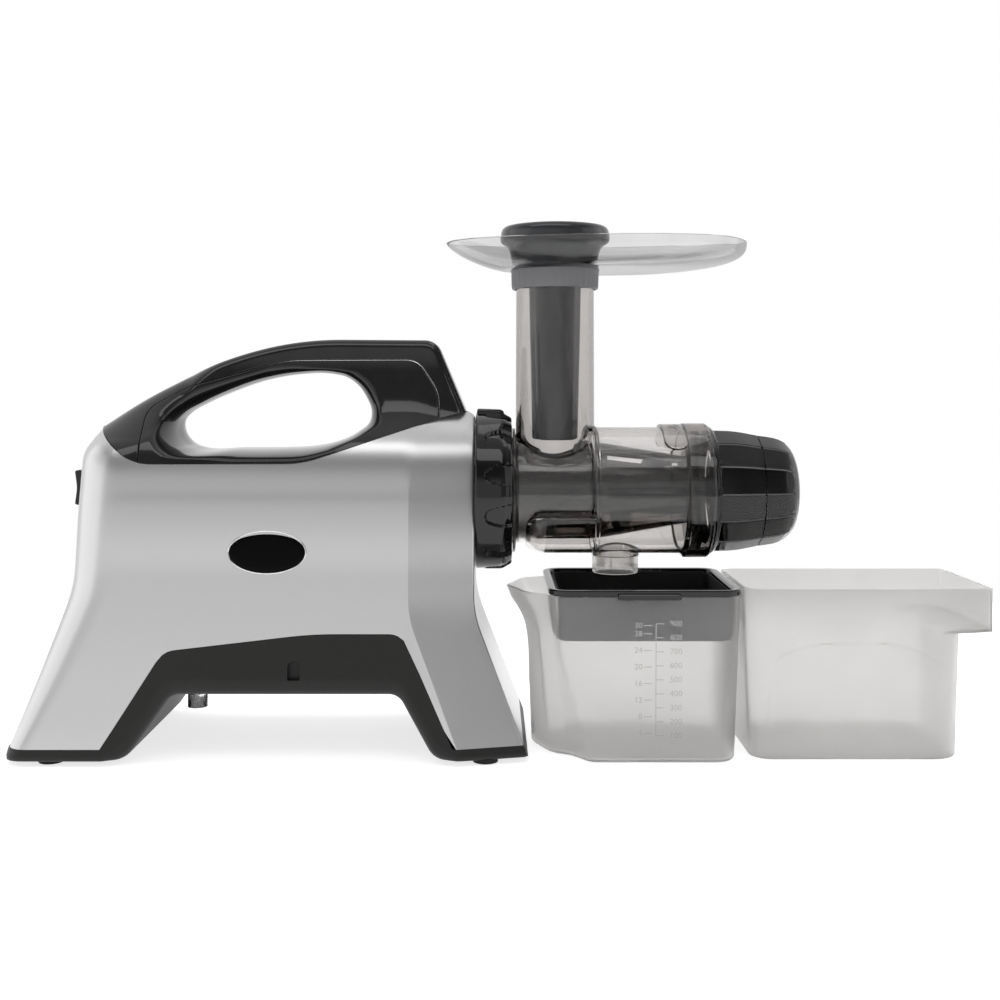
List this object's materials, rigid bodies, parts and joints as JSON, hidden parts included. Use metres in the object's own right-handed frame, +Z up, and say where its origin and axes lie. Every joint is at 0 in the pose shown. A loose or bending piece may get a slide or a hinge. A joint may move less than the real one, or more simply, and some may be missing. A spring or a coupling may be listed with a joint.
{
  "type": "cold press juicer",
  "caption": "Horizontal masticating juicer with carry handle, clear drum, feed tray and pusher, with its strainer jug and pulp bin.",
  "frame": {"origin": "on the table under the middle of the whole set: machine, jug and bin", "axes": "+X from the motor end to the pressure dial, +Y away from the working side, +Z up"},
  "size_m": [0.703, 0.164, 0.3885],
  "materials": {
    "silver_shell": "satin metallic silver paint on moulded ABS",
    "black_gloss": "gloss black moulded ABS",
    "base_plastic": "fine spark-eroded texture, dark grey ABS",
    "rubber": "matt rubber",
    "badge_black": "gloss black plate",
    "badge_silver": "thin bright rim",
    "smoke_clear": "smoke tinted clear copolyester",
    "smoke_dark": "dark smoke tinted copolyester",
    "frosted_clear": "frosted polypropylene",
    "collar_grey": "translucent grey",
    "pusher_dark": "dark grey ABS",
    "screen_grey": "grey glass-filled resin with etched slots",
    "auger_dark": "dark glass-filled resin",
    "strainer_black": "gloss black PP",
    "strainer_grey": "fine grey mesh in a PP frame",
    "motor_steel": "lamination steel",
    "machined_steel": "turned and ground steel",
    "copper": "enamelled copper wire",
    "gear_nylon": "moulded nylon",
    "gearcase_alloy": "die-cast alloy",
    "bronze": "sintered bronze",
    "silicone": "silicone",
    "switch_black": "satin black nylon",
    "capacitor_white": "white polypropylene can"
  },
  "bodies": {
    "machine": {"housing_shell": "silver_shell", "handle_frame": "black_gloss", "handle_top_cover": "black_gloss", "base_cover": "base_plastic", "foot_pads": "rubber", "badge_plate": "badge_black", "badge_rim": "badge_silver", "switch_bezel": "switch_black", "switch_pin": "machined_steel", "cord_gland": "rubber", "drain_stub": "frosted_clear", "idler_pins": "machined_steel", "gearcase": "gearcase_alloy", "gearcase_cover": "gearcase_alloy", "output_bush": "bronze", "shaft_seal": "silicone", "motor_stator": "motor_steel", "motor_windings": "copper", "motor_front_bell": "gearcase_alloy", "motor_rear_bell": "gearcase_alloy", "motor_bearings": "bronze", "motor_adapter": "gearcase_alloy", "motor_cradle": "base_plastic", "run_capacitor": "capacitor_white", "capacitor_clamp": "base_plastic", "drum_socket": "black_gloss", "drum": "smoke_clear", "drum_seal": "silicone", "juice_spout": "frosted_clear", "juicing_screen": "screen_grey", "end_cap": "smoke_dark"},
    "switch": {"switch_rocker": "switch_black"},
    "auger_drive": {"output_gear": "gear_nylon", "output_shaft": "machined_steel", "auger": "auger_dark", "auger_drive_hex": "machined_steel"},
    "second_idler": {"second_idler_gear": "gear_nylon"},
    "first_idler": {"first_idler_gear": "gear_nylon"},
    "rotor": {"motor_pinion": "machined_steel", "rotor_core": "motor_steel", "motor_shaft": "machined_steel", "cooling_fan": "gear_nylon"},
    "clip": {"locking_clip": "black_gloss"},
    "dial": {"pressure_dial": "smoke_dark"},
    "tray": {"hopper_tray": "smoke_clear", "tray_collar": "collar_grey"},
    "pusher": {"pusher_rod": "pusher_dark", "pusher_cap": "pusher_dark"},
    "jug": {"juice_jug": "frosted_clear", "strainer_rim": "strainer_black", "strainer_basket": "strainer_grey"},
    "bin": {"pulp_bin": "frosted_clear"}
  },
  "joints": [
    {"name": "rotor_spin", "type": "hinge", "parent": "machine", "child": "rotor", "pos_m": [-0.139, 0, 0.112], "axis": [1, 0, 0], "continuous": true},
    {"name": "first_idler_spin", "type": "hinge", "parent": "machine", "child": "first_idler", "pos_m": [-0.079, 0.02736, 0.10604], "axis": [1, 0, 0], "continuous": true},
    {"name": "second_idler_spin", "type": "hinge", "parent": "machine", "child": "second_idler", "pos_m": [-0.069, 0.022, 0.14316], "axis": [1, 0, 0], "continuous": true},
    {"name": "auger_spin", "type": "hinge", "parent": "machine", "child": "auger_drive", "pos_m": [-0.019, 0, 0.1875], "axis": [1, 0, 0], "continuous": true},
    {"name": "clip_turn", "type": "hinge", "parent": "machine", "child": "clip", "pos_m": [-0.009, 0, 0.1875], "axis": [1, 0, 0], "range_deg": [0, 45]},
    {"name": "dial_turn", "type": "hinge", "parent": "machine", "child": "dial", "pos_m": [0.206, 0, 0.1875], "axis": [1, 0, 0], "range_deg": [0, 120]},
    {"name": "switch_rock", "type": "hinge", "parent": "machine", "child": "switch", "pos_m": [-0.3035, 0, 0.19], "axis": [0, 1, 0], "range_deg": [-7, 7]},
    {"name": "tray_lift", "type": "slide", "parent": "machine", "child": "tray", "axis": [0, 0, 1], "range_m": [0, 0.16]},
    {"name": "pusher_slide", "type": "slide", "parent": "tray", "child": "pusher", "axis": [0, 0, 1], "range_m": [0, 0.17]},
    {"name": "jug_slide", "type": "slide", "parent": "machine", "child": "jug", "axis": [0, -1, 0], "range_m": [0, 0.2]},
    {"name": "bin_slide", "type": "slide", "parent": "machine", "child": "bin", "axis": [0, -1, 0], "range_m": [0, 0.2]}
  ],
  "couplings": [
    {"joint": "first_idler_spin", "follows": "rotor_spin", "ratio": -0.27273},
    {"joint": "second_idler_spin", "follows": "rotor_spin", "ratio": 0.068182},
    {"joint": "auger_spin", "follows": "rotor_spin", "ratio": -0.015152}
  ]
}
